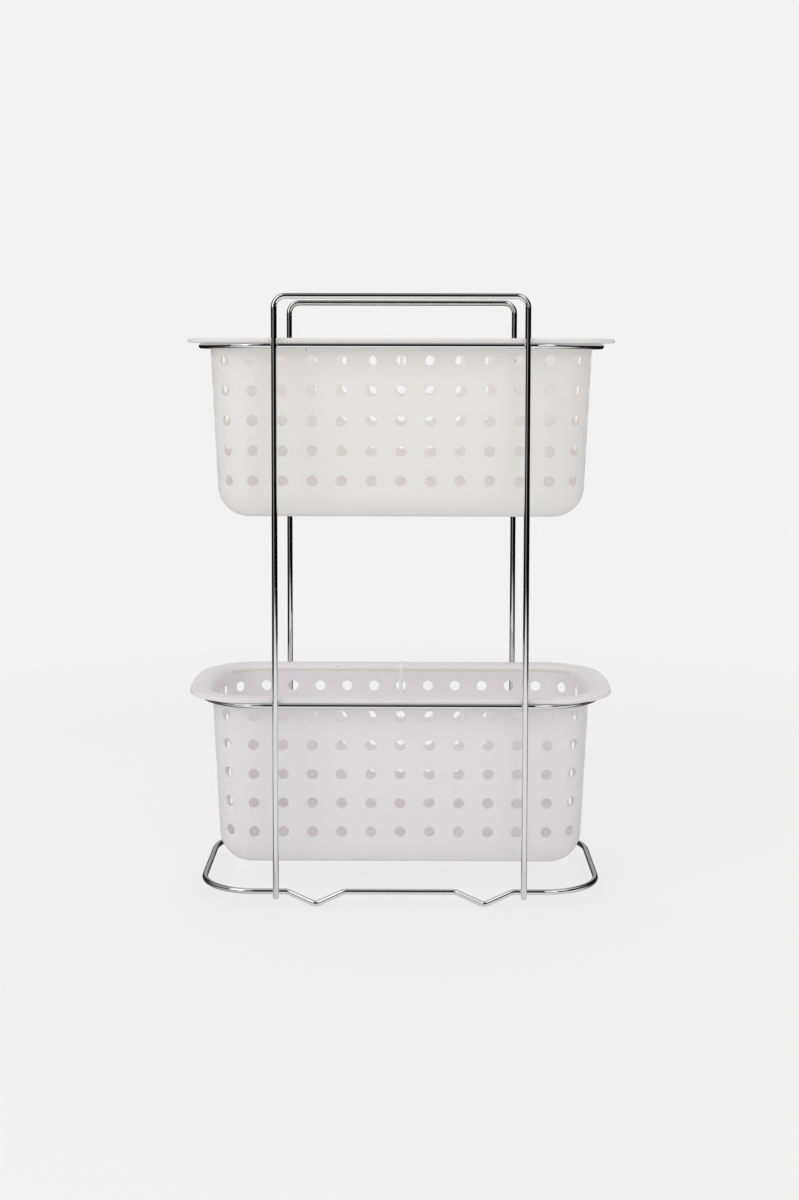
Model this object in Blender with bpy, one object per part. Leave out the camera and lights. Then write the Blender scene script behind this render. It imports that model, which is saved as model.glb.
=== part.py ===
# Two-tier bathroom rack: a welded chrome wire frame that carries two lift-out perforated baskets.
# Metres, +Z up. The origin is on the floor under the middle of the rack, and the front faces -Y.

import math

import bmesh
import bpy
from mathutils import Matrix, Vector

# Wire, the same for every frame piece
wire_diameter = 0.0040
wire_sides = 8
weld_gap = 0.0003
wire_end_taper = 0.0008
wire_end_share = 0.6

# Clear heights between the pieces, from the base ring up
floor_gap = 0.0083
tier_gap = 0.1206
handle_gap = 0.0258

# Front and rear hoops, measured between wire centres
hoop_width = 0.1690
hoop_spacing = 0.1490
hoop_bend_radius = 0.0075
hoop_bend_steps = 4
leg_overrun = 0.0039

# Basket rings: how far they reach past the hoops' legs, and their corners, at the wire's centre
ring_overhang = 0.0540
ring_corner_radius = 0.0470
ring_corner_steps = 6

# Base ring and its four bent feet, measured the same way
base_overhang = 0.0530
base_corner_radius = 0.0385
foot_inset = 0.0270
foot_drop = 0.0085
foot_slope = math.radians(24.5)
foot_tip_radius = 0.0060
foot_tip_steps = 3
foot_bend_radius = 0.0080
foot_bend_steps = 2

# Basket outlines, seen from above
rim_overhang = 0.0087
rim_side_clearance = 0.0006
rim_corner_radius = 0.0440
flange_width = 0.0154
body_corner_radius = 0.0300
least_corner_radius = 0.0020
corner_steps = 6

# Basket section, from the rim down
basket_seat_gap = 0.0003
lip_height = 0.0028
lip_thickness = 0.0014
lip_edge = 0.0005
flange_thickness = 0.0014
mouth_edge = 0.0010
basket_drop = 0.1180
wall_thickness = 0.0015
wall_draft = math.radians(2.75)
floor_radius = 0.0210
floor_radius_steps = 4

# Drain holes
hole_diameter = 0.0075
hole_sides = 8
hole_overrun = 0.0040
hole_margin = 0.0010
hole_row_pitch = 0.0205
first_row_drop = 0.0100
hole_column_pitch = 0.0202
floor_hole_pitch = 0.0202

# Sizes that follow from the ones above
wire_radius = wire_diameter / 2
wall_slope = math.tan(wall_draft)
ring_length = hoop_width + 2 * ring_overhang
ring_depth = hoop_spacing - 2 * (wire_diameter + weld_gap)
base_length = hoop_width + 2 * base_overhang
rim_length = ring_length + 2 * rim_overhang
rim_depth = hoop_spacing - wire_diameter - 2 * rim_side_clearance
body_length = rim_length - 2 * flange_width
body_depth = rim_depth - 2 * flange_width

# Heights that follow from the ones above
tip_flat_rise = foot_tip_radius * (1 - math.cos(foot_slope / foot_tip_steps))
base_height = wire_radius * math.cos(math.pi / wire_sides) + foot_drop - tip_flat_rise
rim_rise = wire_radius + basket_seat_gap + lip_height
lower_ring_height = base_height + wire_radius + floor_gap + basket_drop
upper_ring_height = lower_ring_height + rim_rise + tier_gap + basket_drop
top_bar_height = upper_ring_height + rim_rise + handle_gap + wire_radius
leg_end_height = base_height - leg_overrun


def clear_scene():
    for item in list(bpy.data.objects):
        bpy.data.objects.remove(item, do_unlink=True)


def make_material(name, colour, roughness, metallic):
    material = bpy.data.materials.new(name)
    material.use_nodes = True
    shader = material.node_tree.nodes["Principled BSDF"]
    shader.inputs["Base Color"].default_value = (*colour, 1)
    shader.inputs["Roughness"].default_value = roughness
    shader.inputs["Metallic"].default_value = metallic
    return material


# Wire paths

def bend_points(before, corner, after, radius, steps):
    # The arc of one bend, from the end of the run before it to the start of the run after it
    inward = (before - corner).normalized()
    outward = (after - corner).normalized()
    half_angle = inward.angle(outward) / 2
    middle = corner + (inward + outward).normalized() * (radius / math.sin(half_angle))
    start = corner + inward * (radius / math.tan(half_angle)) - middle
    axis = (-inward).cross(outward).normalized()
    turn = math.pi - 2 * half_angle
    return [middle + Matrix.Rotation(turn * step / steps, 3, axis) @ start for step in range(steps + 1)]


def wire_path(corners):
    # Each corner is a point, a bend radius and a number of steps; a radius of zero is a plain end
    path = []
    count = len(corners)
    for index, (point, radius, steps) in enumerate(corners):
        if radius == 0:
            path.append(point)
            continue
        before = corners[index - 1][0]
        after = corners[(index + 1) % count][0]
        path.extend(bend_points(before, point, after, radius, steps))
    return path


def make_wire(name, path, closed, material):
    curve = bpy.data.curves.new(name, "CURVE")
    curve.dimensions = "3D"
    curve.twist_mode = "Z_UP" if closed else "MINIMUM"
    curve.bevel_depth = wire_radius
    curve.bevel_resolution = wire_sides // 2 - 2
    curve.use_fill_caps = not closed
    spline = curve.splines.new("POLY")
    spline.points.add(len(path) - 1)
    for point, place in zip(spline.points, path):
        point.co = (*place, 1)
        point.tilt = math.pi / wire_sides
    spline.use_cyclic_u = closed
    spline.use_smooth = True
    if not closed:
        spline.points[0].radius = wire_end_share
        spline.points[-1].radius = wire_end_share
    curve.materials.append(material)
    wire = bpy.data.objects.new(name, curve)
    bpy.context.scene.collection.objects.link(wire)
    return wire


def make_hoop(name, side, parent, material):
    # An upside-down U in its own plane; the object stands at the plane of its two legs
    half = hoop_width / 2
    corners = [
        (Vector((-half, 0, leg_end_height)), 0, 0),
        (Vector((-half, 0, leg_end_height + wire_end_taper)), 0, 0),
        (Vector((-half, 0, top_bar_height)), hoop_bend_radius, hoop_bend_steps),
        (Vector((half, 0, top_bar_height)), hoop_bend_radius, hoop_bend_steps),
        (Vector((half, 0, leg_end_height + wire_end_taper)), 0, 0),
        (Vector((half, 0, leg_end_height)), 0, 0),
    ]
    hoop = make_wire(name, wire_path(corners), False, material)
    hoop.location = (0, side * hoop_spacing / 2, 0)
    hoop.parent = parent
    return hoop


def make_basket_ring(name, height, parent, material):
    x = ring_length / 2
    y = ring_depth / 2
    corners = [
        (Vector((x * along, y * across, 0)), ring_corner_radius, ring_corner_steps)
        for along, across in ((-1, -1), (1, -1), (1, 1), (-1, 1))
    ]
    ring = make_wire(name, wire_path(corners), True, material)
    ring.location = (0, 0, height)
    ring.parent = parent
    return ring


def foot_corners(x, y, direction):
    # A shallow V hanging from the ring; its round tip is foot_drop below the ring's wire
    tip_lift = foot_tip_radius * (1 / math.cos(foot_slope) - 1)
    depth = foot_drop + tip_lift
    half_span = depth / math.tan(foot_slope)
    return [
        (Vector((x - direction * half_span, y, 0)), foot_bend_radius, foot_bend_steps),
        (Vector((x, y, -depth)), foot_tip_radius, foot_tip_steps),
        (Vector((x + direction * half_span, y, 0)), foot_bend_radius, foot_bend_steps),
    ]


def make_base_ring(name, parent, material):
    x = base_length / 2
    y = ring_depth / 2
    foot = hoop_width / 2 - foot_inset
    corners = foot_corners(-foot, -y, 1) + foot_corners(foot, -y, 1)
    corners.append((Vector((x, -y, 0)), base_corner_radius, ring_corner_steps))
    corners.append((Vector((x, y, 0)), base_corner_radius, ring_corner_steps))
    corners += foot_corners(foot, y, -1) + foot_corners(-foot, y, -1)
    corners.append((Vector((-x, y, 0)), base_corner_radius, ring_corner_steps))
    corners.append((Vector((-x, -y, 0)), base_corner_radius, ring_corner_steps))
    ring = make_wire(name, wire_path(corners), True, material)
    ring.location = (0, 0, base_height)
    ring.parent = parent
    return ring


# Baskets

def outline(length, depth, radius, z):
    # A rounded rectangle seen from above, anticlockwise
    points = []
    for quarter, (along, across) in enumerate(((1, 1), (-1, 1), (-1, -1), (1, -1))):
        centre = Vector((along * (length / 2 - radius), across * (depth / 2 - radius), z))
        for step in range(corner_steps + 1):
            angle = math.pi / 2 * (quarter + step / corner_steps)
            points.append(centre + radius * Vector((math.cos(angle), math.sin(angle), 0)))
    return points


def body_outline(inset, z):
    radius = max(body_corner_radius - inset, least_corner_radius)
    return outline(body_length - 2 * inset, body_depth - 2 * inset, radius, z)


def rim_outline(inset, z):
    return outline(rim_length - 2 * inset, rim_depth - 2 * inset, rim_corner_radius - inset, z)


def wall_inset(z):
    # How far the outer face of the drafted wall has come in at this depth below the rim's top
    return (rim_rise - z) * wall_slope


def floor_arc(thickness):
    # The curve from the floor up into the wall, as pairs of an inset and a height
    reach = floor_radius - thickness
    centre_z = floor_radius - basket_drop
    centre_inset = wall_inset(centre_z) + floor_radius / math.cos(wall_draft)
    sweep = math.pi / 2 - wall_draft
    arc = []
    for step in range(floor_radius_steps + 1):
        angle = sweep * step / floor_radius_steps
        arc.append((centre_inset - reach * math.sin(angle), centre_z - reach * math.cos(angle)))
    return arc


def basket_loops():
    # The closed section of the basket, from the middle of its outer floor to that of its inner one
    under_flange = rim_rise - flange_thickness
    lip_end = rim_rise - lip_height
    inner_wall = wall_thickness / math.cos(wall_draft)
    loops = [body_outline(inset, z) for inset, z in floor_arc(0)]
    loops.append(body_outline(wall_inset(under_flange), under_flange))
    loops.append(rim_outline(lip_thickness, under_flange))
    loops.append(rim_outline(lip_thickness, lip_end))
    loops.append(rim_outline(0, lip_end))
    loops.append(rim_outline(0, rim_rise - lip_edge))
    loops.append(rim_outline(lip_edge, rim_rise))
    loops.append(body_outline(inner_wall - mouth_edge, rim_rise))
    mouth_z = rim_rise - mouth_edge
    loops.append(body_outline(wall_inset(mouth_z) + inner_wall, mouth_z))
    loops += [body_outline(inset, z) for inset, z in reversed(floor_arc(wall_thickness))]
    return loops


def skin_loops(mesh, loops):
    rings = [[mesh.verts.new(point) for point in loop] for loop in loops]
    for lower, upper in zip(rings, rings[1:]):
        for index, vertex in enumerate(lower):
            after = (index + 1) % len(lower)
            mesh.faces.new((vertex, lower[after], upper[after], upper[index]))
    mesh.faces.new(list(reversed(rings[0])))
    mesh.faces.new(rings[-1])


def hole_columns():
    # Where the columns of holes stand on the body's outline: a place and the way out, seen from above
    columns = []
    flat_x = body_length / 2 - body_corner_radius
    flat_y = body_depth / 2 - body_corner_radius
    long_count = round(flat_x / hole_column_pitch)
    short_count = int(flat_y / hole_column_pitch)
    corner_count = int(math.pi / 2 * body_corner_radius / hole_column_pitch)
    for side in (-1, 1):
        for column in range(-long_count, long_count + 1):
            place = Vector((column * hole_column_pitch, side * body_depth / 2, 0))
            columns.append((place, Vector((0, side, 0))))
        for column in range(-short_count, short_count + 1):
            place = Vector((side * body_length / 2, column * hole_column_pitch, 0))
            columns.append((place, Vector((side, 0, 0))))
    for along in (-1, 1):
        for across in (-1, 1):
            centre = Vector((along * flat_x, across * flat_y, 0))
            for column in range(corner_count):
                angle = (column + 1) * hole_column_pitch / body_corner_radius
                outward = Vector((along * math.sin(angle), across * math.cos(angle), 0))
                columns.append((centre + body_corner_radius * outward, outward))
    return columns


def add_cutter(mesh, middle, direction, length):
    turn = direction.to_track_quat("Z", "Y").to_matrix().to_4x4()
    bmesh.ops.create_cone(
        mesh, cap_ends=True, segments=hole_sides, radius1=hole_diameter / 2,
        radius2=hole_diameter / 2, depth=length, matrix=Matrix.Translation(middle) @ turn)


def make_hole_cutter(name, parent):
    mesh = bmesh.new()
    clear_of_floor = floor_radius + hole_margin + hole_diameter / 2
    last_gap = int((basket_drop - clear_of_floor - first_row_drop) / hole_row_pitch)
    for place, outward in hole_columns():
        for row in range(last_gap + 1):
            z = -first_row_drop - row * hole_row_pitch
            middle = place - outward * (wall_inset(z) + wall_thickness / 2)
            middle.z = z
            add_cutter(mesh, middle, outward, wall_thickness + 2 * hole_overrun)
    edge = wall_inset(-basket_drop) + clear_of_floor
    columns = int((body_length / 2 - edge) / floor_hole_pitch)
    rows = int((body_depth / 2 - edge) / floor_hole_pitch)
    for column in range(-columns, columns + 1):
        for row in range(-rows, rows + 1):
            middle = Vector((column, row, 0)) * floor_hole_pitch
            middle.z = wall_thickness / 2 - basket_drop
            add_cutter(mesh, middle, Vector((0, 0, 1)), wall_thickness + 2 * hole_overrun)
    data = bpy.data.meshes.new(name)
    mesh.to_mesh(data)
    mesh.free()
    cutter = bpy.data.objects.new(name, data)
    cutter.hide_render = True
    cutter.display_type = "WIRE"
    cutter.parent = parent
    bpy.context.scene.collection.objects.link(cutter)
    return cutter


def make_basket(name, ring_height, material):
    # The object's origin is at the middle of the ring that carries it, on the line it lifts along
    mesh = bmesh.new()
    skin_loops(mesh, basket_loops())
    data = bpy.data.meshes.new(name)
    mesh.to_mesh(data)
    mesh.free()
    data.materials.append(material)
    basket = bpy.data.objects.new(name, data)
    basket.location = (0, 0, ring_height)
    bpy.context.scene.collection.objects.link(basket)
    holes = basket.modifiers.new("Drain holes", "BOOLEAN")
    holes.operation = "DIFFERENCE"
    holes.solver = "EXACT"
    holes.use_self = True
    holes.object = make_hole_cutter(name + "_holes", basket)
    return basket


def build():
    clear_scene()
    chrome = make_material("Polished chrome", (0.72, 0.73, 0.74), 0.08, 1)
    plastic = make_material("Frosted plastic", (0.74, 0.72, 0.71), 0.45, 0)
    frame = bpy.data.objects.new("frame", None)
    bpy.context.scene.collection.objects.link(frame)
    make_hoop("front_hoop", -1, frame, chrome)
    make_hoop("rear_hoop", 1, frame, chrome)
    make_basket_ring("upper_ring", upper_ring_height, frame, chrome)
    make_basket_ring("lower_ring", lower_ring_height, frame, chrome)
    make_base_ring("base_ring", frame, chrome)
    make_basket("upper_basket", upper_ring_height, plastic)
    make_basket("lower_basket", lower_ring_height, plastic)


build()
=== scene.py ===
import math

import bmesh
import bpy
from mathutils import Matrix, Vector


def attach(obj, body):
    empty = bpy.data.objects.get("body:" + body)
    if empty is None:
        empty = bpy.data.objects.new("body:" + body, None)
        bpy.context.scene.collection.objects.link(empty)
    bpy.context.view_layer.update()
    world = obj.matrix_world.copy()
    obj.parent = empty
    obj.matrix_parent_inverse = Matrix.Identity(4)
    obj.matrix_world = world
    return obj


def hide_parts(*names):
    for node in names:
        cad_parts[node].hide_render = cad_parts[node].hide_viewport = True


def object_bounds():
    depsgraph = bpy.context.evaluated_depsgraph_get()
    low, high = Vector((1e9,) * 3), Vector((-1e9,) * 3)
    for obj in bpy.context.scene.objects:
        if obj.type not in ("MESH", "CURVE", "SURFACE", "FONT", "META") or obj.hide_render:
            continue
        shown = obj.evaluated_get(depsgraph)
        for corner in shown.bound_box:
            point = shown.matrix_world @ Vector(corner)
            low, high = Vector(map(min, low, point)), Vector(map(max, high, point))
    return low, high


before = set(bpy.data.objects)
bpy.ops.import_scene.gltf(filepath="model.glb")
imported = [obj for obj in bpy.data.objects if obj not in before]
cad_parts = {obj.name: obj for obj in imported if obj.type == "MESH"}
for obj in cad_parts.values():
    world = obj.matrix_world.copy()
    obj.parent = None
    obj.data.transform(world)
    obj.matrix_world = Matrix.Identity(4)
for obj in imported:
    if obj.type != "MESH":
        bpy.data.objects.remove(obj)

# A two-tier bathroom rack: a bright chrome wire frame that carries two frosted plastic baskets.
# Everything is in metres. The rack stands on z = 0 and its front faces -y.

cadLow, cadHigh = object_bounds()


# The camera stands where the photograph's did
photoView = {
    "frameWidth": 799,  # the picture, in pixels
    "frameHeight": 1200,
    "lens": 51.0,  # millimetres on a 36 mm long side
    "place": (0.0049, -1.2078, 0.3759),
    "turn": 0.0047,  # radians, to the left
    "tilt": 0.0775,  # radians, down
    "roll": 0.0020,
    "middleAcross": 399.5,  # where the lens axis meets the picture, in pixels
    "middleDown": 486.9,
}


def addCamera():
    data = bpy.data.cameras.new("photoCamera")
    data.lens = photoView["lens"]
    longSide = max(photoView["frameWidth"], photoView["frameHeight"])
    data.shift_x = ((photoView["frameWidth"] - 1) / 2 - photoView["middleAcross"]) / longSide
    data.shift_y = (photoView["middleDown"] - (photoView["frameHeight"] - 1) / 2) / longSide
    camera = bpy.data.objects.new("photoCamera", data)
    bpy.context.scene.collection.objects.link(camera)
    aim = Matrix.Rotation(photoView["turn"], 4, "Z")
    aim = aim @ Matrix.Rotation(math.pi / 2 - photoView["tilt"], 4, "X")
    aim = aim @ Matrix.Rotation(photoView["roll"], 4, "Z")
    camera.matrix_world = Matrix.Translation(photoView["place"]) @ aim
    bpy.context.scene.camera = camera


def addNode(tree, kind, inputs=None, **settings):
    made = tree.nodes.new("ShaderNode" + kind)
    for name, value in settings.items():
        setattr(made, name, value)
    for name, value in (inputs or {}).items():
        made.inputs[name].default_value = value
    return made


def addNoise(tree, look, layer):
    return addNode(tree, "TexNoise", {
        socket: look[layer + socket] for socket in ("Scale", "Detail", "Roughness")})


def addRange(tree, source, target, **settings):
    return addNode(tree, "MapRange", {
        "From Min": source[0], "From Max": source[1], "To Min": target[0], "To Max": target[1]}, **settings)


def startMaterial(name):
    material = bpy.data.materials.new(name)
    material.use_nodes = True
    tree = material.node_tree
    return material, tree, tree.nodes["Principled BSDF"]


def shadeSmooth(data, sharpAngle):
    data.shade_smooth()
    data.set_sharp_from_angle(angle=sharpAngle)


orderAxis = Vector((1, 0.7236, 0.3819))  # a slanting line, along which no two points of a piece tie


def settleOrder(mesh):
    # Extruding numbers edges and faces in a new order each run, and cuts and Booleans follow that order
    mesh.verts.sort(key=lambda vert: vert.co.dot(orderAxis))
    mesh.verts.index_update()
    count = len(mesh.verts)

    def cornerNumber(item):
        first, second, *others = sorted(vert.index for vert in item.verts)
        return (first * count + second) * count + (others[0] if others else 0)

    mesh.edges.sort(key=cornerNumber)
    mesh.faces.sort(key=cornerNumber)


def addPiece(name, mesh, materials, sharpAngle):
    settleOrder(mesh)
    data = bpy.data.meshes.new(name)
    mesh.to_mesh(data)
    mesh.free()
    for material in materials:
        data.materials.append(material)
    shadeSmooth(data, sharpAngle)
    piece = bpy.data.objects.new(name, data)
    bpy.context.scene.collection.objects.link(piece)
    return piece


# Chrome: a bright plate with faint clouds, grain and pits
chromeLook = {
    "bright": (0.70, 0.705, 0.71, 1),
    "dull": (0.57, 0.575, 0.58, 1),
    "smoothest": 0.03,
    "roughest": 0.10,
    "cloudScale": 95,
    "cloudDetail": 5,
    "cloudRoughness": 0.6,
    "cloudRange": (0.40, 0.78),  # the clouds' values for smoothest and roughest
    "grainScale": 1400,
    "grainDetail": 3,
    "grainRoughness": 0.5,
    "grainDepth": 0.000004,
    "grainStrength": 0.3,
    "pitScale": 620,
    "pitCore": 0.07,  # how much of each cell a pit takes, and where it has faded out
    "pitEdge": 0.14,
    "pitRoughness": 0.2,
}


def makeChrome():
    material, tree, shader = startMaterial("bright chrome plate")
    shader.inputs["Metallic"].default_value = 1
    where = addNode(tree, "TexCoord")
    cloud = addNoise(tree, chromeLook, "cloud")
    grain = addNoise(tree, chromeLook, "grain")
    pits = addNode(tree, "TexVoronoi", {"Scale": chromeLook["pitScale"]})
    for texture in (cloud, grain, pits):
        tree.links.new(where.outputs["Object"], texture.inputs["Vector"])
    pitMask = addRange(tree, (chromeLook["pitCore"], chromeLook["pitEdge"]), (1, 0))
    tree.links.new(pits.outputs["Distance"], pitMask.inputs["Value"])
    wear = addRange(tree, chromeLook["cloudRange"], (chromeLook["smoothest"], chromeLook["roughest"]))
    tree.links.new(cloud.outputs["Fac"], wear.inputs["Value"])
    rough = addNode(tree, "Math", operation="MULTIPLY_ADD")
    rough.inputs[1].default_value = chromeLook["pitRoughness"]
    tree.links.new(pitMask.outputs["Result"], rough.inputs[0])
    tree.links.new(wear.outputs["Result"], rough.inputs[2])
    tree.links.new(rough.outputs["Value"], shader.inputs["Roughness"])
    tint = addNode(tree, "MixRGB", {"Color1": chromeLook["bright"], "Color2": chromeLook["dull"]})
    tree.links.new(pitMask.outputs["Result"], tint.inputs["Fac"])
    tree.links.new(tint.outputs["Color"], shader.inputs["Base Color"])
    height = addNode(tree, "Math", operation="SUBTRACT")
    tree.links.new(grain.outputs["Fac"], height.inputs[0])
    tree.links.new(pitMask.outputs["Result"], height.inputs[1])
    bump = addNode(tree, "Bump", {
        "Strength": chromeLook["grainStrength"], "Distance": chromeLook["grainDepth"]})
    tree.links.new(height.outputs["Value"], bump.inputs["Height"])
    tree.links.new(bump.outputs["Normal"], shader.inputs["Normal"])
    return material


# Frosted plastic: light goes into it and comes out elsewhere
plasticLook = {
    "upperPaintedLighterWarm": (0.980, 0.941, 0.886, 1),  # painted light and shade: the upper tray is painted lighter, as lit more from above, and the lower one darker, as in the upper one's shade
    "upperPaintedLighterCool": (0.963, 0.935, 0.896, 1),
    "lowerPaintedShadeWarm": (0.875, 0.837, 0.851, 1),
    "lowerPaintedShadeCool": (0.855, 0.831, 0.861, 1),
    # the rib's own cream tint, painted lighter than the wall as a painted highlight along it
    "ribCreamAndHighlightWarm": (1, 0.985, 0.91, 1),
    "ribCreamAndHighlightCool": (1, 0.985, 0.93, 1),
    "paintedShadeWarm": (0.72, 0.70, 0.65, 1),  # painted shade: a darker line along the mouth, where the rim turns down into the wall
    "paintedShadeCool": (0.71, 0.70, 0.67, 1),
    "speck": (0.52, 0.50, 0.52, 1),
    "smoothest": 0.38,
    "roughest": 0.55,
    "cloudScale": 26,
    "cloudDetail": 4,
    "cloudRoughness": 0.55,
    "cloudRange": (0.3, 0.7),  # the clouds' values for smoothest and roughest
    "frostScale": 1500,
    "frostDetail": 2,
    "frostRoughness": 0.6,
    "frostDepth": 0.00004,
    "frostStrength": 0.4,
    "speckScale": 62,
    "speckCore": 0.03,  # how much of its cell a speck takes, and where it has faded out
    "speckEdge": 0.05,
    "speckedCells": 0.12,  # how many cells have one
    "glow": 0.9,  # how much of the light goes in
    "glowReach": 0.0045,
    "glowSpread": (1, 0.95, 0.92),  # how far each colour gets
    "index": 1.49,
    "shine": 0.4,
}


def makePlastic(name, warm, cool):
    material, tree, shader = startMaterial(name)
    shader.inputs["Subsurface Weight"].default_value = plasticLook["glow"]
    shader.inputs["Subsurface Radius"].default_value = plasticLook["glowSpread"]
    shader.inputs["Subsurface Scale"].default_value = plasticLook["glowReach"]
    shader.inputs["IOR"].default_value = plasticLook["index"]
    shader.inputs["Specular IOR Level"].default_value = plasticLook["shine"]
    where = addNode(tree, "TexCoord")
    cloud = addNoise(tree, plasticLook, "cloud")
    frost = addNoise(tree, plasticLook, "frost")
    specks = addNode(tree, "TexVoronoi", {"Scale": plasticLook["speckScale"]})
    for texture in (cloud, frost, specks):
        tree.links.new(where.outputs["Object"], texture.inputs["Vector"])
    tint = addNode(tree, "MixRGB", {"Color1": warm, "Color2": cool})
    tree.links.new(cloud.outputs["Fac"], tint.inputs["Fac"])
    speckMask = addRange(tree, (plasticLook["speckCore"], plasticLook["speckEdge"]), (1, 0))
    tree.links.new(specks.outputs["Distance"], speckMask.inputs["Value"])
    cellDraw = addNode(tree, "SeparateColor")
    tree.links.new(specks.outputs["Color"], cellDraw.inputs["Color"])
    hasSpeck = addNode(tree, "Math", operation="LESS_THAN")
    hasSpeck.inputs[1].default_value = plasticLook["speckedCells"]
    tree.links.new(cellDraw.outputs["Red"], hasSpeck.inputs[0])
    speckShow = addNode(tree, "Math", operation="MULTIPLY")
    tree.links.new(speckMask.outputs["Result"], speckShow.inputs[0])
    tree.links.new(hasSpeck.outputs["Value"], speckShow.inputs[1])
    speckled = addNode(tree, "MixRGB", {"Color2": plasticLook["speck"]})
    tree.links.new(speckShow.outputs["Value"], speckled.inputs["Fac"])
    tree.links.new(tint.outputs["Color"], speckled.inputs["Color1"])
    tree.links.new(speckled.outputs["Color"], shader.inputs["Base Color"])
    rough = addRange(tree, plasticLook["cloudRange"], (plasticLook["smoothest"], plasticLook["roughest"]))
    tree.links.new(cloud.outputs["Fac"], rough.inputs["Value"])
    tree.links.new(rough.outputs["Result"], shader.inputs["Roughness"])
    bump = addNode(tree, "Bump", {
        "Strength": plasticLook["frostStrength"], "Distance": plasticLook["frostDepth"]})
    tree.links.new(frost.outputs["Fac"], bump.inputs["Height"])
    tree.links.new(bump.outputs["Normal"], shader.inputs["Normal"])
    return material


# Every frame piece is bent from the same wire
wire = {
    "radius": 0.00197,
    "sides": 28,
    "degreesPerStep": 7.5,  # along a bend
    "leastSteps": 4,
    "endRound": 0.0006,
    "endSteps": 3,
    # The butt weld that closes a ring: how far from its middle, and the share of the radius there
    "seam": ((0, 0.70), (0.00045, 0.73), (0.0007, 1.04), (0.0013, 1)),
    "holdLength": 0.0008,  # short runs at both ends of a straight one, which keep its shading straight
    "mergeDistance": 0.00001,
    "sharpAngle": math.radians(50),
}


def newVerts(made):
    return [item for item in made if isinstance(item, bmesh.types.BMVert)]


def ringEdges(made):
    verts = set(newVerts(made))
    return [item for item in made if isinstance(item, bmesh.types.BMEdge) and set(item.verts) <= verts]


def startRing(mesh, sides, radius, matrix, capped):
    made = bmesh.ops.create_circle(mesh, cap_ends=capped, segments=sides, radius=radius, matrix=matrix)
    edges = (edge for vert in made["verts"] for edge in vert.link_edges)
    return list(dict.fromkeys(edges))


def facing(place, heading):
    return Matrix.Translation(place) @ heading.to_track_quat("Z", "Y").to_matrix().to_4x4()


def runRing(mesh, ring, move):
    made = bmesh.ops.extrude_edge_only(mesh, edges=ring)["geom"]
    bmesh.ops.translate(mesh, verts=newVerts(made), vec=move)
    return ringEdges(made)


def runStraight(mesh, ring, move):
    hold = move.normalized() * wire["holdLength"]
    if move.length < 3 * wire["holdLength"]:
        return runRing(mesh, ring, move)
    for part in (hold, move - 2 * hold, hold):
        ring = runRing(mesh, ring, part)
    return ring


def bendRing(mesh, ring, centre, axis, angle, steps):
    made = bmesh.ops.spin(
        mesh, geom=ring, cent=centre, axis=axis, angle=angle, steps=steps,
        use_merge=False, use_duplicate=False, dvec=(0, 0, 0))["geom_last"]
    return ringEdges(made)


def sizeRing(mesh, ring, share):
    verts = list(dict.fromkeys(vert for edge in ring for vert in edge.verts))
    middle = sum((vert.co for vert in verts), Vector()) / len(verts)
    bmesh.ops.scale(mesh, vec=(share, share, share), space=Matrix.Translation(-middle), verts=verts)


def roundEnd(mesh, ring, heading, opening):
    # A cut end with its edge rounded off: opening is True where the wire begins here
    steps = wire["endSteps"]
    reach = wire["endRound"]
    for step in range(steps):
        now, later = (math.pi / 2 * (step + more) / steps for more in (0, 1))
        if opening:
            move = reach * (math.cos(now) - math.cos(later))
            before, after = (wire["radius"] - reach * (1 - math.sin(angle)) for angle in (now, later))
        else:
            move = reach * (math.sin(later) - math.sin(now))
            before, after = (wire["radius"] - reach * (1 - math.cos(angle)) for angle in (now, later))
        ring = runRing(mesh, ring, heading * move)
        sizeRing(mesh, ring, after / before)
    return ring


def runSeam(mesh, ring, heading, seam):
    for (before, beforeShare), (after, afterShare) in zip(seam, seam[1:]):
        ring = runRing(mesh, ring, heading * (after - before))
        sizeRing(mesh, ring, afterShare / beforeShare)
    return ring


def sweepWire(mesh, corners, closed):
    # Follows the corners, each a place and a bend radius: straight runs are extruded and bends are spun
    points = [Vector(place) for place, radius in corners]
    count = len(points)
    seamLength = wire["seam"][-1][0]
    start = (points[-1] + points[0]) / 2 if closed else points[0]
    heading = ((points[0] if closed else points[1]) - start).normalized()
    if closed:
        radius = wire["radius"] * wire["seam"][0][1]
        ring = startRing(mesh, wire["sides"], radius, facing(start, heading), False)
        ring = runSeam(mesh, ring, heading, wire["seam"])
        place = start + heading * seamLength
    else:
        radius = wire["radius"] - wire["endRound"]
        ring = startRing(mesh, wire["sides"], radius, facing(start, heading), False)
        bmesh.ops.edgeloop_fill(mesh, edges=ring)
        ring = roundEnd(mesh, ring, heading, True)
        place = start + heading * wire["endRound"]
    for index in range(count) if closed else range(1, count - 1):
        corner = points[index]
        radius = corners[index][1]
        into = (corner - place).normalized()
        after = (points[(index + 1) % count] - corner).normalized()
        angle = into.angle(after)
        setback = radius * math.tan(angle / 2)
        bendStart = corner - into * setback
        ring = runStraight(mesh, ring, bendStart - place)
        inward = (after - into * into.dot(after)).normalized()
        steps = max(wire["leastSteps"], round(math.degrees(angle) / wire["degreesPerStep"]))
        ring = bendRing(mesh, ring, bendStart + inward * radius, into.cross(after), angle, steps)
        place = corner + after * setback
    end = start if closed else points[-1]
    heading = (end - place).normalized()
    ring = runStraight(mesh, ring, end - place - heading * (seamLength if closed else wire["endRound"]))
    if closed:
        runSeam(mesh, ring, heading, [(seamLength - reach, share) for reach, share in reversed(wire["seam"])])
        bmesh.ops.remove_doubles(mesh, verts=mesh.verts, dist=wire["mergeDistance"])
    else:
        ring = roundEnd(mesh, ring, heading, False)
        bmesh.ops.edgeloop_fill(mesh, edges=ring)
    bmesh.ops.recalc_face_normals(mesh, faces=mesh.faces)


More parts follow.
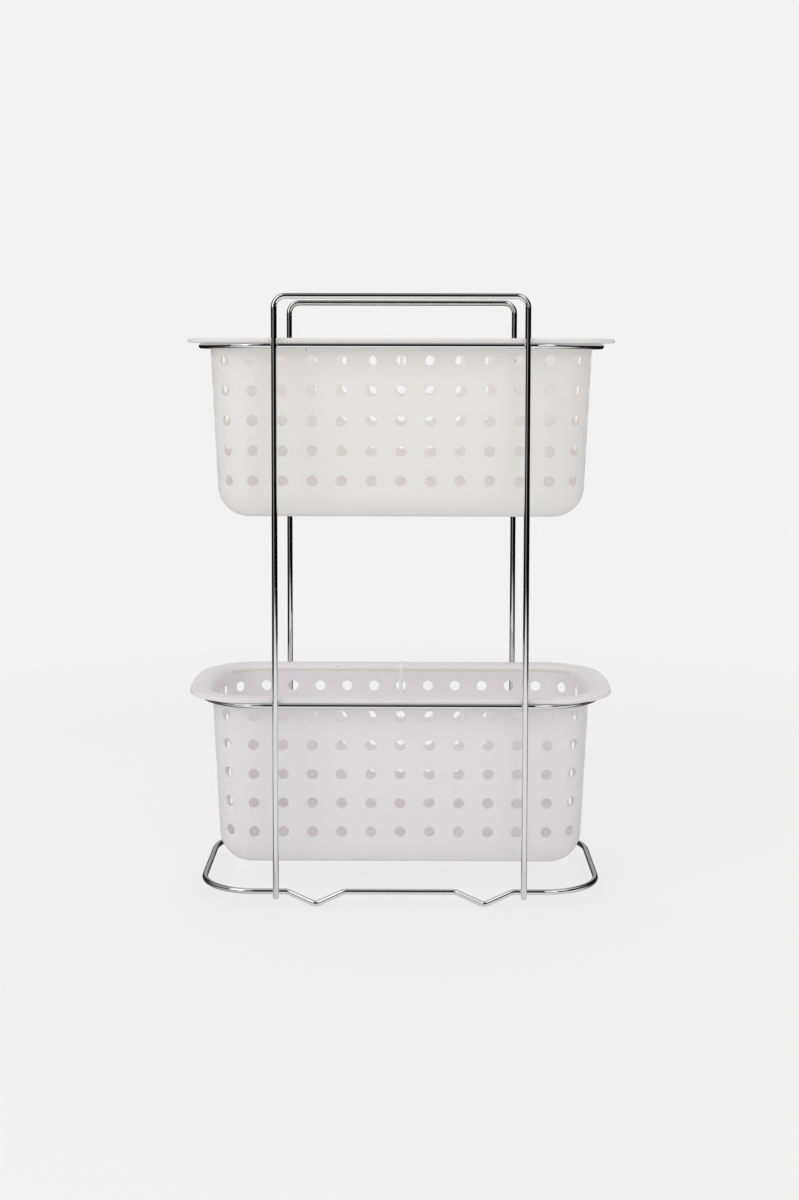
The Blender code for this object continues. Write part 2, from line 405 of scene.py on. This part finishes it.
def joinSolid(piece, other, operation):
    # Runs one Boolean and keeps its result as the piece's mesh
    change = piece.modifiers.new("join", "BOOLEAN")
    change.operation = operation
    change.solver = "EXACT"
    change.object = other
    result = bpy.data.meshes.new_from_object(piece.evaluated_get(bpy.context.evaluated_depsgraph_get()))
    piece.modifiers.clear()
    oldMesh = piece.data
    result.name = oldMesh.name
    piece.data = result
    bpy.data.meshes.remove(oldMesh)
    bpy.data.objects.remove(other, do_unlink=True)


# The two hoops
hoop = {
    "width": 0.1690,  # between the middles of its legs
    "bendRadius": 0.0075,
    "legEnd": 0.0064,  # above the floor
    "spotReach": 0.0016,  # the weld metal squeezed out at each crossing
    "spotDepth": 0.0011,
    "spotSides": 16,
    "spotSteps": 10,
    "spotMargin": 0.0024,  # cuts above and below each spot, which keep the leg's shading straight
    "decimals": 7,  # the cut wire is rounded, because the cuts' last digits change from run to run
}
ringHeights = {"upper_ring": 0.382287, "lower_ring": 0.138587, "base_ring": 0.010287}
hoopY = cadHigh.y - wire["radius"]
topBarZ = cadHigh.z - wire["radius"]
ringY = hoopY - 2 * wire["radius"]


def buildHoop(node, side, chrome):
    half = hoop["width"] / 2
    y = side * hoopY
    mesh = bmesh.new()
    sweepWire(mesh, [
        ((-half, y, hoop["legEnd"]), 0),
        ((-half, y, topBarZ), hoop["bendRadius"]),
        ((half, y, topBarZ), hoop["bendRadius"]),
        ((half, y, hoop["legEnd"]), 0),
    ], closed=False)
    settleOrder(mesh)
    for height in ringHeights.values():
        for margin in (-hoop["spotMargin"], hoop["spotMargin"]):
            bmesh.ops.bisect_plane(
                mesh, geom=mesh.verts[:] + mesh.edges[:] + mesh.faces[:], dist=wire["mergeDistance"],
                plane_co=(0, 0, height + margin), plane_no=(0, 0, 1))
    for vert in mesh.verts:
        vert.co = [round(value, hoop["decimals"]) for value in vert.co]
    piece = addPiece(node + "_wire", mesh, [chrome], wire["sharpAngle"])
    spots = bmesh.new()
    for x in (-half, half):
        for height in ringHeights.values():
            shape = Matrix.Diagonal((hoop["spotReach"], hoop["spotDepth"], hoop["spotReach"], 1))
            place = Matrix.Translation((x, side * (hoopY - wire["radius"]), height))
            bmesh.ops.create_uvsphere(
                spots, u_segments=hoop["spotSides"], v_segments=hoop["spotSteps"], radius=1,
                matrix=place @ shape)
    joinSolid(piece, addPiece("spots", spots, [chrome], math.pi), "UNION")
    shadeSmooth(piece.data, wire["sharpAngle"])
    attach(piece, "frame")
    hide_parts(node)


# The two rings that carry the baskets
basketRing = {
    "length": 0.2770,  # between the middles of the wire
    "cornerRadius": 0.0470,
}


def buildBasketRing(node, chrome):
    x = basketRing["length"] / 2
    z = ringHeights[node]
    radius = basketRing["cornerRadius"]
    mesh = bmesh.new()
    corners = [
        ((x * along, ringY * across, z), radius)
        for along, across in ((-1, -1), (1, -1), (1, 1), (-1, 1))]
    sweepWire(mesh, corners, closed=True)
    piece = addPiece(node + "_wire", mesh, [chrome], wire["sharpAngle"])
    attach(piece, "frame")
    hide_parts(node)


# The base ring with its four bent feet
baseRing = {
    "length": 0.2750,
    "cornerRadius": 0.0385,
    "footX": 0.0575,
    "footSlope": math.radians(24.5),
    "tipRadius": 0.0060,
    "shoulderRadius": 0.0080,
}


def footCorners(x, y, direction):
    z = ringHeights["base_ring"]
    tipLift = baseRing["tipRadius"] * (1 / math.cos(baseRing["footSlope"]) - 1)
    depth = z - wire["radius"] + tipLift
    halfSpan = depth / math.tan(baseRing["footSlope"])
    return [
        ((x - direction * halfSpan, y, z), baseRing["shoulderRadius"]),
        ((x, y, z - depth), baseRing["tipRadius"]),
        ((x + direction * halfSpan, y, z), baseRing["shoulderRadius"]),
    ]


def buildBaseRing(chrome):
    x = baseRing["length"] / 2
    z = ringHeights["base_ring"]
    foot = baseRing["footX"]
    radius = baseRing["cornerRadius"]
    corners = [((-x, -ringY, z), radius)]
    corners += footCorners(-foot, -ringY, 1) + footCorners(foot, -ringY, 1)
    corners += [((x, -ringY, z), radius), ((x, ringY, z), radius)]
    corners += footCorners(foot, ringY, -1) + footCorners(-foot, ringY, -1)
    corners += [((-x, ringY, z), radius)]
    mesh = bmesh.new()
    sweepWire(mesh, corners, closed=True)
    piece = addPiece("base_ring_wire", mesh, [chrome], wire["sharpAngle"])
    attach(piece, "frame")
    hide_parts("base_ring")


# The two baskets
basket = {
    "length": 0.2944,
    "depth": 0.1438,
    "cornerRadius": 0.0440,
    "cornerSteps": 16,
    "endBow": 0.0016,  # how far the middles of both ends swell out
    "endBowReach": 0.0450,
    "endCuts": 7,
    "rimRise": 0.0051,  # its top, above the middle of the ring's wire
    "lipHeight": 0.0028,
    "lipRadius": 0.0016,
    "bodyInset": 0.0154,  # from the lip's outside to the wall's
    "mouthRadius": 0.0060,
    "mouthSteps": 8,
    "wall": 0.0015,
    "draft": math.radians(2.75),
    "drop": 0.1180,  # from the middle of the ring's wire to the underside
    "floorRadius": 0.0210,
    "lipSteps": 5,
    "floorSteps": 10,
    "holdLength": 0.0008,  # short runs beside each bend, which keep the flat parts' shading flat
    "paintedShadeFrom": 0.0026,  # where the painted shade line along the mouth lies, below the rim's top
    "paintedShadeTo": 0.0046,
    "paintedShadeTurn": 0.0125,  # how far it follows the mouth's corners before it ends
    "paintedShadeTilt": 0.1,  # how much its faces look up at least, which leaves out the outer wall's
    "mergeDistance": 0.00002,
    "sharpAngle": math.radians(24),
}
plasticSlots = {"wall": 0, "rib": 1, "paintedShade": 2}
drainHoles = {
    "diameter": 0.0075,
    "sides": 20,
    "rowPitch": 0.0205,
    "firstRow": 0.0100,
    "rows": 5,
    "pitch": 0.0202,
    "longCount": 5,  # either side of the middle one
    "endCount": 1,
    "cornerCount": 2,
    "floorColumns": 5,
    "floorRows": 1,
    "reach": 0.0060,
    "edge": 0.0003,  # its chamfer, at both faces of the wall
    "edgeLead": 0.0001,  # how far the drill goes on widening past the wall
    "cornerEase": 0.0014,  # the corner columns are paced a little outside the wall
}
rib = {
    "halfWidth": 0.00135,
    "rise": 0.0006,
    "from": 0.0020,  # in from the lip's outside
    "down": 0.0155,  # past the mouth
    "sides": 12,
    "bendSteps": 6,
}


def wallInset(z):
    # How far the wall's outer face has come in from the lip's outside, at this height over the ring's middle
    return basket["bodyInset"] + (basket["rimRise"] - z) * math.tan(basket["draft"])


def heldRun(inset, rise):
    share = basket["holdLength"] / math.hypot(inset, rise)
    return [(inset * part, rise * part) for part in (share, 1 - 2 * share, share)]


def basketSteps():
    # Insets and rises that draw the inner face, from the lip's lower edge to the middle of the floor
    draft = basket["draft"]
    steps = [(0, basket["lipHeight"] - basket["lipRadius"])]
    radius = basket["lipRadius"]
    for step in range(basket["lipSteps"]):
        now, later = (math.pi / 2 * (step + more) / basket["lipSteps"] for more in (0, 1))
        steps.append((radius * (math.cos(now) - math.cos(later)), radius * (math.sin(later) - math.sin(now))))
    radius = basket["mouthRadius"]
    sweep = math.pi / 2 - draft
    innerWall = basket["wall"] / math.cos(draft)
    arcIn = radius * math.sin(sweep)
    arcDown = radius * (1 - math.cos(sweep))
    mouthInset = wallInset(basket["rimRise"] - arcDown) + innerWall
    steps += heldRun(mouthInset - arcIn - basket["lipRadius"], 0)
    for step in range(basket["mouthSteps"]):
        now, later = (sweep * (step + more) / basket["mouthSteps"] for more in (0, 1))
        steps.append((radius * (math.sin(later) - math.sin(now)), radius * (math.cos(later) - math.cos(now))))
    radius = basket["floorRadius"] - basket["wall"]
    middleZ = basket["floorRadius"] - basket["drop"]
    middleInset = wallInset(middleZ) + basket["floorRadius"] / math.cos(draft)
    arcTop = middleZ - radius * math.sin(draft)
    arcInset = middleInset - radius * math.cos(draft)
    steps += heldRun(arcInset - mouthInset, arcTop - (basket["rimRise"] - arcDown))
    for step in range(basket["floorSteps"]):
        now, later = (draft + sweep * (step + more) / basket["floorSteps"] for more in (0, 1))
        steps.append((radius * (math.cos(now) - math.cos(later)), radius * (math.sin(now) - math.sin(later))))
    steps.append((basket["holdLength"], 0))
    return steps


def basketShell(ringZ):
    mesh = bmesh.new()
    start = Matrix.Translation((0, 0, ringZ + basket["rimRise"] - basket["lipHeight"]))
    size = Matrix.Diagonal((basket["length"] / 2, basket["depth"] / 2, 1, 1))
    bmesh.ops.create_grid(mesh, x_segments=1, y_segments=1, size=1, matrix=start @ size)
    bmesh.ops.bevel(
        mesh, geom=mesh.verts[:], offset=basket["cornerRadius"], segments=basket["cornerSteps"], profile=0.5,
        affect="VERTICES", material=-1)
    ends = [
        edge for edge in mesh.edges
        if abs(edge.verts[0].co.x - edge.verts[1].co.x) < basket["mergeDistance"]]
    bmesh.ops.bisect_edges(mesh, edges=ends, cuts=basket["endCuts"])
    for vert in mesh.verts:
        away = min(abs(vert.co.y) / basket["endBowReach"], 1)
        swell = basket["endBow"] * (1 + math.cos(math.pi * away)) / 2
        bmesh.ops.translate(mesh, verts=[vert], vec=(math.copysign(swell, vert.co.x), 0, 0))
    face = mesh.faces[:][0]
    for inset, rise in basketSteps():
        bmesh.ops.inset_region(
            mesh, faces=[face], thickness=inset, depth=rise, use_even_offset=True, use_boundary=True)
    bmesh.ops.solidify(mesh, geom=mesh.faces[:], thickness=basket["wall"])
    bmesh.ops.remove_doubles(mesh, verts=mesh.verts, dist=basket["mergeDistance"])
    mouthY = basket["depth"] / 2 - basket["bodyInset"] - basket["wall"]
    # Faces along the mouth's inner edge take the darker plastic: painted shade where the wall turns down
    # under the rim
    for face in mesh.faces:
        centre = face.calc_center_median()
        below = ringZ + basket["rimRise"] - centre.z
        if (face.normal.z > basket["paintedShadeTilt"] and basket["paintedShadeFrom"] < below < basket["paintedShadeTo"]
                and abs(centre.y) > mouthY - basket["paintedShadeTurn"]):
            face.material_index = plasticSlots["paintedShade"]
    return mesh


def addDrill(mesh, place, outward):
    # A round bar that widens to both ends, so that it cuts the small chamfers too
    wide = drainHoles["diameter"] / 2 + drainHoles["edge"] + drainHoles["edgeLead"]
    narrowShare = drainHoles["diameter"] / 2 / wide
    narrow = basket["wall"] / 2 - drainHoles["edge"]
    slope = drainHoles["edge"] + drainHoles["edgeLead"]
    end = drainHoles["reach"] - narrow - slope
    start = facing(place - outward * drainHoles["reach"], outward)
    ring = startRing(mesh, drainHoles["sides"], wide, start, True)
    for move, share in ((end, 1), (slope, narrowShare), (2 * narrow, 1), (slope, 1 / narrowShare), (end, 1)):
        ring = runRing(mesh, ring, outward * move)
        sizeRing(mesh, ring, share)
    bmesh.ops.edgeloop_fill(mesh, edges=ring)


def wallColumns():
    # Where the columns of holes stand on the wall's outline, and which way each looks
    halfLength = basket["length"] / 2 - basket["bodyInset"]
    halfDepth = basket["depth"] / 2 - basket["bodyInset"]
    radius = basket["cornerRadius"] - basket["bodyInset"]
    pitch = drainHoles["pitch"]
    columns = []
    for side in (-1, 1):
        for column in range(-drainHoles["longCount"], drainHoles["longCount"] + 1):
            columns.append((Vector((column * pitch, side * halfDepth, 0)), Vector((0, side, 0))))
        for column in range(-drainHoles["endCount"], drainHoles["endCount"] + 1):
            columns.append((Vector((side * halfLength, column * pitch, 0)), Vector((side, 0, 0))))
    for along in (-1, 1):
        for across in (-1, 1):
            centre = Vector((along * (halfLength - radius), across * (halfDepth - radius), 0))
            for column in range(drainHoles["cornerCount"]):
                angle = (column + 1) * pitch / (radius + drainHoles["cornerEase"])
                outward = Vector((along * math.sin(angle), across * math.cos(angle), 0))
                columns.append((centre + radius * outward, outward))
    return columns


def drillHoles(ringZ):
    mesh = bmesh.new()
    down = Vector((0, 0, -math.sin(basket["draft"])))
    for place, outward in wallColumns():
        for row in range(drainHoles["rows"]):
            z = -drainHoles["firstRow"] - row * drainHoles["rowPitch"]
            inset = wallInset(z) - basket["bodyInset"] + basket["wall"] / 2
            square = outward * math.cos(basket["draft"]) + down
            addDrill(mesh, place - outward * inset + Vector((0, 0, ringZ + z)), square)
    for column in range(-drainHoles["floorColumns"], drainHoles["floorColumns"] + 1):
        for row in range(-drainHoles["floorRows"], drainHoles["floorRows"] + 1):
            middle = ringZ - basket["drop"] + basket["wall"] / 2
            place = Vector((column * drainHoles["pitch"], row * drainHoles["pitch"], middle))
            addDrill(mesh, place, Vector((0, 0, 1)))
    bmesh.ops.recalc_face_normals(mesh, faces=mesh.faces)
    return mesh


def ribSolid(ringZ):
    # A low moulded rib at the middle of the rear side: over the rim, and down the inner wall across one hole
    mesh = bmesh.new()
    y = basket["depth"] / 2 - rib["from"]
    z = ringZ + basket["rimRise"]
    turn = Matrix.Rotation(math.pi / 2, 4, "X")
    shape = Matrix.Diagonal((rib["halfWidth"], 1, rib["rise"], 1))
    ring = startRing(mesh, rib["sides"], 1, Matrix.Translation((0, y, z)) @ shape @ turn, True)
    draft = basket["draft"]
    radius = basket["mouthRadius"]
    mouthY = basket["depth"] / 2 - wallInset(basket["rimRise"]) - basket["wall"]
    ring = runRing(mesh, ring, (0, mouthY + radius - y, 0))
    ring = bendRing(
        mesh, ring, (0, mouthY + radius, z - radius), (1, 0, 0), math.pi / 2 - draft, rib["bendSteps"])
    ring = runRing(mesh, ring, Vector((0, -math.sin(draft), -math.cos(draft))) * rib["down"])
    bmesh.ops.edgeloop_fill(mesh, edges=ring)
    bmesh.ops.recalc_face_normals(mesh, faces=mesh.faces)
    return mesh


def buildBasket(node, plastics):
    ringZ = ringHeights[node.replace("basket", "ring")]
    piece = addPiece(node + "_shell", basketShell(ringZ), plastics, basket["sharpAngle"])
    for name, shape, operation, slot in (
            ("drills", drillHoles(ringZ), "DIFFERENCE", "wall"), ("rib", ribSolid(ringZ), "UNION", "rib")):
        for face in shape.faces:
            face.material_index = plasticSlots[slot]
        joinSolid(piece, addPiece(name, shape, plastics, math.pi), operation)
    shadeSmooth(piece.data, basket["sharpAngle"])
    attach(piece, node)
    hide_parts(node)


# Floor, backdrop and light
studio = {
    "pale": 0.888,  # the backdrop's brightness
    "floorTint": (0.25, 0.25, 0.25, 1),
    "floorRoughness": 0.9,
    "floorGlow": 0.672,  # what the camera sees of it
    "floorLift": 0.58,  # what it throws up onto the rack
    "floorSides": 128,
    "floorMiddle": (0, -0.35),
    "floorReach": (0.95, 1.45),  # sideways, and to the front and back
    "floorFade": 0.35,  # the share of the reach over which the floor melts into the backdrop
    "fillFront": 0.65,  # soft light from all around, more of it from behind, which shines through the plastic
    "fillBack": 0.985,
    "fillSideDrop": 0.42,
    "fillTint": (1, 0.98, 0.98, 1),  # a touch of pink
    "leftShare": 1.9,  # chrome sees a room that is lighter on the left
    "rightShare": 0.1,
    "lampAim": (0, 0, 1.2),
}
# What chrome sees of the room: height share of the sky, brightness
roomSteps = ((0, 0.004), (0.25, 0.008), (0.5, 0.02), (0.74, 0.03), (0.89, 0.14), (1, 0.36))
# Lit patches in it: direction, brightness, and the cosines of the angles from there at which
# each is full and at which it ends
roomPatches = (
    ((-0.44, -0.897, 0.03), 0.40, 0.992, 0.95),  # beside the camera
    ((0, 0.953, 0.302), 0.42, 0.985, 0.90),  # low behind the rack
    ((-0.64, 0.05, 0.766), 0.36, 0.94, 0.74),  # high on the left
    ((0.57, 0.05, 0.82), 0.22, 0.965, 0.82),  # high on the right
    ((-0.45, -0.45, 0.77), 1.0, 0.985, 0.935),  # high in front, left and right
    ((0.45, -0.45, 0.77), 1.0, 0.985, 0.935),
    ((0.46, 0.15, 0.875), 0.5, 0.99, 0.95),
)
# What chrome sees of the floor: dim, but bright in two areas, in front of the rack and right under it
mirroredFloor = {
    "bright": 1.0,
    "dim": 0.12,
    "middleX": 0.15,
    "areas": (  # how bright, and where along y and away from the middle in x it starts and is full
        {"share": 1, "alongY": (-0.04, -0.20), "awayX": (0.95, 0.70)},
        {"share": 0.85, "alongY": (-0.03, -0.075), "awayX": (0.40, 0.20)},
    ),
}
softboxes = {
    "leftBox": {"place": (-1.38, -1.28, 1.35), "size": (0.95, 1.7), "power": 9.0},
    "rightBox": {"place": (0.74, -1.76, 1.35), "size": (0.80, 1.7), "power": 5.0},
}


def addFloorGlow(tree, shader, where):
    parts = addNode(tree, "SeparateXYZ")
    tree.links.new(where.outputs["Object"], parts.inputs["Vector"])
    moved = addNode(tree, "Math", operation="SUBTRACT")
    moved.inputs[1].default_value = mirroredFloor["middleX"]
    tree.links.new(parts.outputs["X"], moved.inputs[0])
    aside = addNode(tree, "Math", operation="ABSOLUTE")
    tree.links.new(moved.outputs["Value"], aside.inputs[0])
    share = addNode(tree, "Math", operation="MAXIMUM")
    for index, area in enumerate(mirroredFloor["areas"]):
        both = addNode(tree, "Math", operation="MULTIPLY")
        ranges = (
            (parts.outputs["Y"], area["alongY"], area["share"]),
            (aside.outputs["Value"], area["awayX"], 1),
        )
        for side, (source, reach, most) in enumerate(ranges):
            ramp = addRange(tree, reach, (0, most), interpolation_type="SMOOTHSTEP")
            tree.links.new(source, ramp.inputs["Value"])
            tree.links.new(ramp.outputs["Result"], both.inputs[side])
        tree.links.new(both.outputs["Value"], share.inputs[index])
    shift = studio["floorGlow"] - studio["pale"]
    mirrored = addRange(tree, (0, 1), (mirroredFloor["dim"] + shift, mirroredFloor["bright"] + shift))
    tree.links.new(share.outputs["Value"], mirrored.inputs["Value"])
    rays = addNode(tree, "LightPath")
    plain = addNode(tree, "Mix")
    plain.inputs[2].default_value = studio["floorLift"]
    plain.inputs[3].default_value = studio["floorGlow"]
    tree.links.new(rays.outputs["Is Camera Ray"], plain.inputs[0])
    glow = addNode(tree, "Mix")
    tree.links.new(rays.outputs["Is Glossy Ray"], glow.inputs[0])
    tree.links.new(plain.outputs[0], glow.inputs[2])
    tree.links.new(mirrored.outputs["Result"], glow.inputs[3])
    tree.links.new(glow.outputs[0], shader.inputs["Emission Strength"])


def addFloor():
    mesh = bmesh.new()
    bmesh.ops.create_circle(mesh, cap_ends=True, segments=studio["floorSides"], radius=1)
    across, along = studio["floorReach"]
    middleX, middleY = studio["floorMiddle"]
    bmesh.ops.scale(mesh, vec=(across, along, 1), verts=mesh.verts)
    bmesh.ops.translate(mesh, vec=(middleX, middleY, 0), verts=mesh.verts)
    material, tree, shader = startMaterial("pale floor")
    shader.inputs["Base Color"].default_value = studio["floorTint"]
    shader.inputs["Roughness"].default_value = studio["floorRoughness"]
    shader.inputs["Specular IOR Level"].default_value = 0
    shader.inputs["Emission Color"].default_value = (1, 1, 1, 1)
    where = addNode(tree, "TexCoord")
    squared = addNode(tree, "Mapping", {
        "Location": (-middleX / across, -middleY / along, 0), "Scale": (1 / across, 1 / along, 1)})
    away = addNode(tree, "VectorMath", operation="LENGTH")
    fade = addRange(tree, (1 - studio["floorFade"], 1), (1, 0), interpolation_type="SMOOTHSTEP")
    tree.links.new(where.outputs["Object"], squared.inputs["Vector"])
    tree.links.new(squared.outputs["Vector"], away.inputs[0])
    tree.links.new(away.outputs["Value"], fade.inputs["Value"])
    tree.links.new(fade.outputs["Result"], shader.inputs["Alpha"])
    addFloorGlow(tree, shader, where)
    floor = addPiece("paleFloor", mesh, [material], math.pi)


def addRoom(tree):
    # What a mirrored ray sees: dark at eye level, lighter overhead and on the left, with grey patches
    where = addNode(tree, "TexCoord")
    parts = addNode(tree, "SeparateXYZ")
    tree.links.new(where.outputs["Generated"], parts.inputs["Vector"])
    sky = addNode(tree, "ValToRGB")
    steps = sky.color_ramp.elements
    while len(steps) < len(roomSteps):
        steps.new(1)
    for step, (place, bright) in zip(steps, roomSteps):
        step.position = place
        step.color = (bright, bright, bright, 1)
    tree.links.new(parts.outputs["Z"], sky.inputs["Fac"])
    side = addRange(tree, (-1, 1), (studio["leftShare"], studio["rightShare"]))
    tree.links.new(parts.outputs["X"], side.inputs["Value"])
    shown = addNode(tree, "Math", operation="MULTIPLY")
    tree.links.new(sky.outputs["Color"], shown.inputs[0])
    tree.links.new(side.outputs["Result"], shown.inputs[1])
    for toward, bright, core, edge in roomPatches:
        near = addNode(tree, "VectorMath", operation="DOT_PRODUCT")
        near.inputs[1].default_value = toward
        tree.links.new(where.outputs["Generated"], near.inputs[0])
        patch = addRange(tree, (edge, core), (0, bright), interpolation_type="SMOOTHSTEP")
        tree.links.new(near.outputs["Value"], patch.inputs["Value"])
        total = addNode(tree, "Math", operation="ADD")
        tree.links.new(shown.outputs["Value"], total.inputs[0])
        tree.links.new(patch.outputs["Result"], total.inputs[1])
        shown = total
    room = addNode(tree, "Background", {"Color": (1, 1, 1, 1)})
    tree.links.new(shown.outputs["Value"], room.inputs["Strength"])
    return room


def addWorld():
    world = bpy.data.worlds.new("softStudio")
    bpy.context.scene.world = world
    world.use_nodes = True
    tree = world.node_tree
    tree.nodes.clear()
    output = addNode(tree, "OutputWorld")
    rays = addNode(tree, "LightPath")
    room = addRoom(tree)
    even = addNode(tree, "Background", {"Color": studio["fillTint"]})
    where = addNode(tree, "TexCoord")
    parts = addNode(tree, "SeparateXYZ")
    tree.links.new(where.outputs["Generated"], parts.inputs["Vector"])
    depth = addRange(tree, (-1, 1), (studio["fillFront"], studio["fillBack"]))
    tree.links.new(parts.outputs["Y"], depth.inputs["Value"])
    aside = addNode(tree, "Math", operation="MULTIPLY")
    tree.links.new(parts.outputs["X"], aside.inputs[0])
    tree.links.new(parts.outputs["X"], aside.inputs[1])
    soft = addNode(tree, "Math", operation="MULTIPLY_ADD")
    soft.inputs[1].default_value = -studio["fillSideDrop"]
    tree.links.new(aside.outputs["Value"], soft.inputs[0])
    tree.links.new(depth.outputs["Result"], soft.inputs[2])
    tree.links.new(soft.outputs["Value"], even.inputs["Strength"])
    seen = addNode(tree, "Background", {"Color": (1, 1, 1, 1), "Strength": studio["pale"]})
    unseen = addNode(tree, "MixShader")
    tree.links.new(rays.outputs["Is Glossy Ray"], unseen.inputs[0])
    tree.links.new(even.outputs["Background"], unseen.inputs[1])
    tree.links.new(room.outputs["Background"], unseen.inputs[2])
    total = addNode(tree, "MixShader")
    tree.links.new(rays.outputs["Is Camera Ray"], total.inputs[0])
    tree.links.new(unseen.outputs["Shader"], total.inputs[1])
    tree.links.new(seen.outputs["Background"], total.inputs[2])
    tree.links.new(total.outputs["Shader"], output.inputs["Surface"])


def addSoftboxes():
    aim = Vector(studio["lampAim"])
    for name, box in softboxes.items():
        data = bpy.data.lights.new(name, "AREA")
        data.shape = "RECTANGLE"
        data.size, data.size_y = box["size"]
        data.energy = box["power"]
        lamp = bpy.data.objects.new(name, data)
        bpy.context.scene.collection.objects.link(lamp)
        lamp.location = box["place"]
        lamp.rotation_mode = "QUATERNION"
        lamp.rotation_quaternion = (aim - Vector(box["place"])).to_track_quat("-Z", "Y")
        lamp.visible_camera = False


bpy.context.scene.view_settings.view_transform = "Standard"
addCamera()
print("camera placed")
chrome = makeChrome()
# Painted light and shade: the upper tray's plastic is lighter and the lower tray's darker, where the upper
# one shades it
upperPaintedLighterPlastic = makePlastic("upper frosted plastic, painted lighter", plasticLook["upperPaintedLighterWarm"], plasticLook["upperPaintedLighterCool"])
lowerPaintedShadePlastic = makePlastic("lower frosted plastic, painted shade", plasticLook["lowerPaintedShadeWarm"], plasticLook["lowerPaintedShadeCool"])
# The rib's plastic is cream, painted lighter than the wall as a painted highlight
ribCreamAndHighlightPlastic = makePlastic("rib plastic, cream with painted highlight", plasticLook["ribCreamAndHighlightWarm"], plasticLook["ribCreamAndHighlightCool"])
# The mouth line's plastic is darker: painted shade along the mouth
paintedShadePlastic = makePlastic("frosted plastic with painted mouth shade", plasticLook["paintedShadeWarm"], plasticLook["paintedShadeCool"])
print("materials made")
buildHoop("front_hoop", -1, chrome)
buildHoop("rear_hoop", 1, chrome)
buildBasketRing("upper_ring", chrome)
buildBasketRing("lower_ring", chrome)
buildBaseRing(chrome)
print("wire frame built")
for node, plastic in (("upper_basket", upperPaintedLighterPlastic), ("lower_basket", lowerPaintedShadePlastic)):
    buildBasket(node, [plastic, ribCreamAndHighlightPlastic, paintedShadePlastic])
print("baskets built")
addFloor()
addWorld()
addSoftboxes()
print("studio lit")
